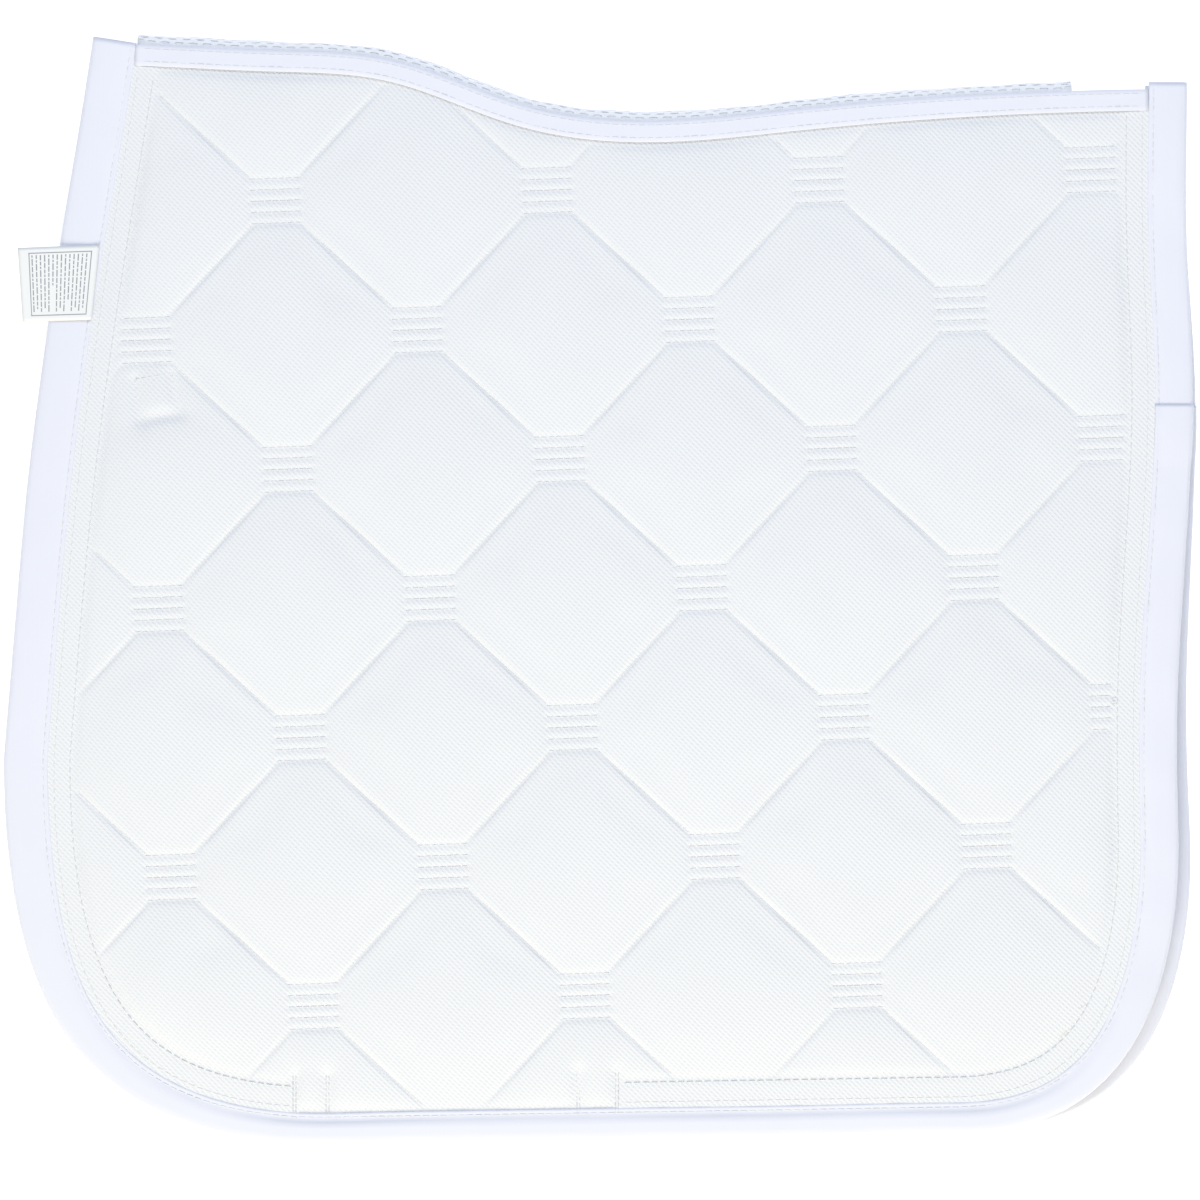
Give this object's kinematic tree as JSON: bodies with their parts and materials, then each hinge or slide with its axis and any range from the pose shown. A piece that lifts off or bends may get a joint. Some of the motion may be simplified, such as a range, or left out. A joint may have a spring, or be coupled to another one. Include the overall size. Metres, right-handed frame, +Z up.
{
  "type": "saddle pad",
  "caption": "Quilted saddle pad, folded in half along its mesh spine with the linings outwards, with bound edges, girth loops and billet straps between the halves.",
  "frame": {"origin": "on the resting surface, under the middle of the folded pad", "axes": "+X towards the rear of the pad, +Y towards the spine, +Z up, away from the surface that it lies on"},
  "size_m": [0.6516, 0.6053, 0.0268],
  "materials": {
    "lining_mesh": "matte",
    "wadding": "matte",
    "cover_cotton": "matte",
    "satin": "satin",
    "braid": "satin",
    "webbing": "matte",
    "hook_tape": "matte",
    "loop_tape": "matte",
    "open_mesh": "matte",
    "label": "satin"
  },
  "bodies": {
    "left_half": {"left_lining": "lining_mesh", "left_wadding": "wadding", "left_outer_cover": "cover_cotton", "left_edge_binding": "satin", "left_spine_tape": "satin", "left_front_braid": "braid", "left_rear_braid": "braid", "left_girth_loop": "webbing", "left_billet_strap": "webbing", "left_hook_patch": "hook_tape", "left_loop_patch": "loop_tape", "spine_mesh": "open_mesh"},
    "right_half": {"right_lining": "lining_mesh", "right_wadding": "wadding", "right_outer_cover": "cover_cotton", "right_edge_binding": "satin", "right_spine_tape": "satin", "right_front_braid": "braid", "right_rear_braid": "braid", "right_girth_loop": "webbing", "right_billet_strap": "webbing", "right_hook_patch": "hook_tape", "right_loop_patch": "loop_tape"},
    "care_label": {"care_label": "label"}
  },
  "joints": [
    {"name": "spine_fold", "type": "hinge", "parent": "left_half", "child": "right_half", "pos_m": [0, 0.291, 0.0134], "axis": [-0.9991, 0.0427, 0], "range_deg": [0, 180], "deforming": ["spine_mesh"]},
    {"name": "label_flip", "type": "hinge", "parent": "right_half", "child": "care_label", "pos_m": [-0.2755, 0.1665, 0.02425], "axis": [0.0349, 0.9994, 0], "range_deg": [0, 150]}
  ]
}
